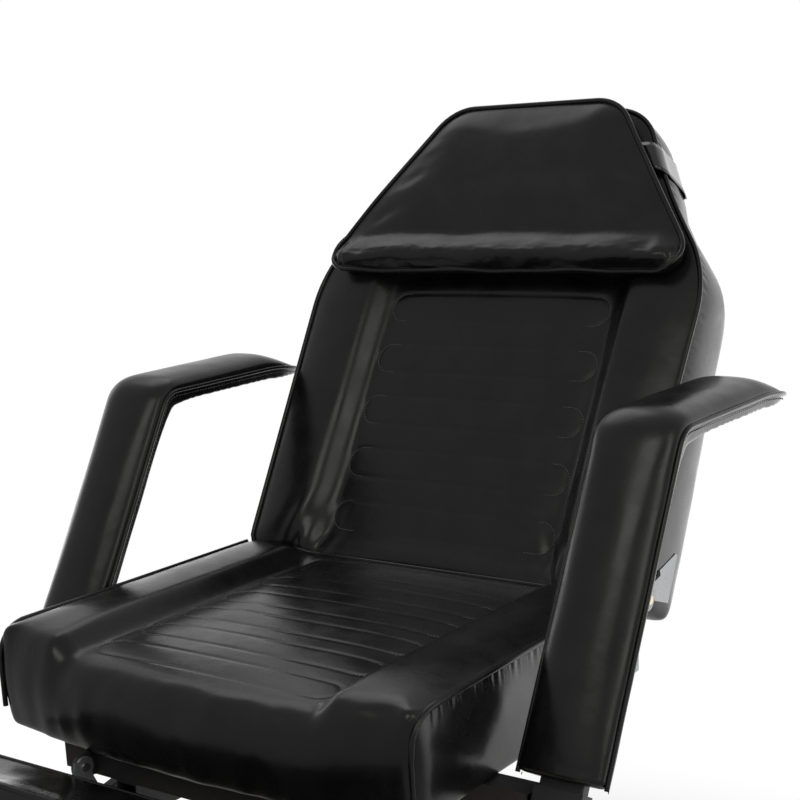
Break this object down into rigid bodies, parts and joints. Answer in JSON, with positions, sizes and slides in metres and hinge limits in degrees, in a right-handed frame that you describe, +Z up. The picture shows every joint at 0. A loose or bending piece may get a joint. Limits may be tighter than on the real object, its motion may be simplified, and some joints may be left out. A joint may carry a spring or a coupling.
{
  "type": "tattoo chair",
  "caption": "Hydraulic tattoo chair on a round foot-pump base, with a reclining padded back, head pillow, swing-up leg rest, lift-off padded armrests and a swivelling, rising seat.",
  "frame": {"origin": "on the floor, under the middle of the round base", "axes": "+Z up, the chair faces -Y, +X to the right of someone looking at its front"},
  "size_m": [0.838, 1.0707, 1.1946],
  "materials": {
    "black_vinyl": "satin",
    "black_webbing": "matte",
    "plywood": "matte",
    "silver_steel": "satin",
    "black_steel": "satin",
    "chrome": "polished",
    "bright_steel": "satin",
    "cast_iron": "matte",
    "brass": "satin",
    "black_rubber": "matte",
    "black_plastic": "matte"
  },
  "bodies": {
    "root": {"floor_ring": "black_rubber", "base_disc": "black_steel", "base_cover": "chrome", "base_bolts": "bright_steel", "pump_foot": "cast_iron", "pump_cylinder": "cast_iron", "pump_gland": "bright_steel", "pedal_pin": "bright_steel", "lower_shroud": "chrome", "shroud_guide": "chrome"},
    "pedal": {"pedal_arm": "chrome", "pedal_pad": "black_rubber"},
    "plunger": {"pump_plunger": "bright_steel"},
    "lift": {"lift_ram": "bright_steel", "upper_shroud": "chrome", "swivel_bearing": "bright_steel"},
    "seat": {"arm_cross_tube": "black_steel", "arm_socket_left": "black_steel", "arm_socket_right": "black_steel", "hinge_cross_tube": "black_steel", "hub_bolts": "bright_steel", "leg_hinge_ears": "black_steel", "leg_hinge_pins": "bright_steel", "rear_cross_tube": "black_steel", "seat_board": "plywood", "seat_cushion": "black_vinyl", "seat_rails": "black_steel", "seat_side_plate_left": "silver_steel", "seat_side_plate_right": "silver_steel", "spring_bracket": "silver_steel", "spring_foot_pins": "bright_steel", "swivel_hub": "black_steel"},
    "back": {"back_board": "plywood", "back_cover": "black_vinyl", "back_cushion": "black_vinyl", "back_bracket": "silver_steel", "back_plate_screws": "silver_steel", "back_side_plate_left": "silver_steel", "back_side_plate_right": "silver_steel", "recline_bolts": "brass"},
    "pillow": {"head_pillow": "black_vinyl", "pillow_strap": "black_webbing"},
    "leg_rest": {"leg_board": "plywood", "leg_cushion": "black_vinyl", "leg_rest_brackets": "silver_steel", "leg_cross_tube": "black_steel"},
    "back_spring_body": {"back_spring_cylinder": "black_steel"},
    "back_spring_rod_body": {"back_spring_rod": "chrome", "back_spring_pin": "bright_steel"},
    "leg_spring_body": {"leg_spring_cylinder": "black_steel"},
    "leg_spring_rod_body": {"leg_spring_rod": "chrome", "leg_spring_pin": "bright_steel"},
    "arm_left": {"arm_bar_left": "black_steel", "arm_pad_left": "black_vinyl"},
    "arm_right": {"arm_bar_right": "black_steel", "arm_pad_right": "black_vinyl"},
    "knob_left": {"arm_knob_left": "black_plastic"},
    "knob_right": {"arm_knob_right": "black_plastic"},
    "release": {"release_lever": "black_steel", "release_grip": "black_rubber"}
  },
  "joints": [
    {"name": "seat_lift", "type": "slide", "parent": "root", "child": "lift", "axis": [0, 0, 1], "range_m": [0, 0.18]},
    {"name": "seat_swivel", "type": "hinge", "parent": "lift", "child": "seat", "pos_m": [0, 0, 0.415], "axis": [0, 0, 1], "continuous": true},
    {"name": "pedal_pivot", "type": "hinge", "parent": "root", "child": "pedal", "pos_m": [0.1, 0, 0.072], "axis": [0, 1, 0], "range_deg": [0, 10], "stiffness_Nm_per_rad": 15, "springref_deg": -11.46},
    {"name": "plunger_slide", "type": "slide", "parent": "root", "child": "plunger", "axis": [0, 0, 1], "range_m": [-0.0005, 0.009]},
    {"name": "back_recline", "type": "hinge", "parent": "seat", "child": "back", "pos_m": [0, 0.217, 0.624], "axis": [-1, 0, 0], "range_deg": [0, 58.5]},
    {"name": "pillow_slide", "type": "slide", "parent": "back", "child": "pillow", "axis": [0, 0.5225, 0.8526], "range_m": [0, 0.06]},
    {"name": "leg_rest_swing", "type": "hinge", "parent": "seat", "child": "leg_rest", "pos_m": [0, -0.268, 0.512], "axis": [-1, 0, 0], "range_deg": [0, 75]},
    {"name": "back_spring_foot", "type": "hinge", "parent": "seat", "child": "back_spring_body", "pos_m": [-0.13, 0.04, 0.365], "axis": [-1, 0, 0], "range_deg": [-1, 2]},
    {"name": "back_spring_stroke", "type": "slide", "parent": "back_spring_body", "child": "back_spring_rod_body", "axis": [0, 0.7806, 0.625], "range_m": [-0.104, 0.002]},
    {"name": "leg_spring_foot", "type": "hinge", "parent": "seat", "child": "leg_spring_body", "pos_m": [-0.13, 0.02, 0.45], "axis": [-1, 0, 0], "range_deg": [-1, 4]},
    {"name": "leg_spring_stroke", "type": "slide", "parent": "leg_spring_body", "child": "leg_spring_rod_body", "axis": [0, -0.9993, 0.037], "range_m": [-0.002, 0.066]},
    {"name": "release_turn", "type": "hinge", "parent": "seat", "child": "release", "pos_m": [-0.2, -0.008, 0.402], "axis": [-1, 0, 0], "range_deg": [0, 15], "stiffness_Nm_per_rad": 6, "springref_deg": -8.59},
    {"name": "arm_left_lift", "type": "slide", "parent": "seat", "child": "arm_left", "axis": [0, 0.5, 0.866], "range_m": [0, 0.04]},
    {"name": "knob_left_turn", "type": "hinge", "parent": "seat", "child": "knob_left", "pos_m": [-0.369, -0.10732, 0.50099], "axis": [0, 0.866, -0.5], "range_deg": [-180, 180]},
    {"name": "arm_right_lift", "type": "slide", "parent": "seat", "child": "arm_right", "axis": [0, 0.5, 0.866], "range_m": [0, 0.04]},
    {"name": "knob_right_turn", "type": "hinge", "parent": "seat", "child": "knob_right", "pos_m": [0.369, -0.10732, 0.50099], "axis": [0, 0.866, -0.5], "range_deg": [-180, 180]}
  ],
  "couplings": [
    {"joint": "plunger_slide", "follows": "pedal_pivot", "m_per_rad": 0.046},
    {"joint": "back_spring_foot", "follows": "back_recline", "ratio": 0.01135},
    {"joint": "back_spring_stroke", "follows": "back_recline", "m_per_rad": -0.099607},
    {"joint": "leg_spring_foot", "follows": "leg_rest_swing", "ratio": 0.03921},
    {"joint": "leg_spring_stroke", "follows": "leg_rest_swing", "m_per_rad": 0.048512}
  ]
}
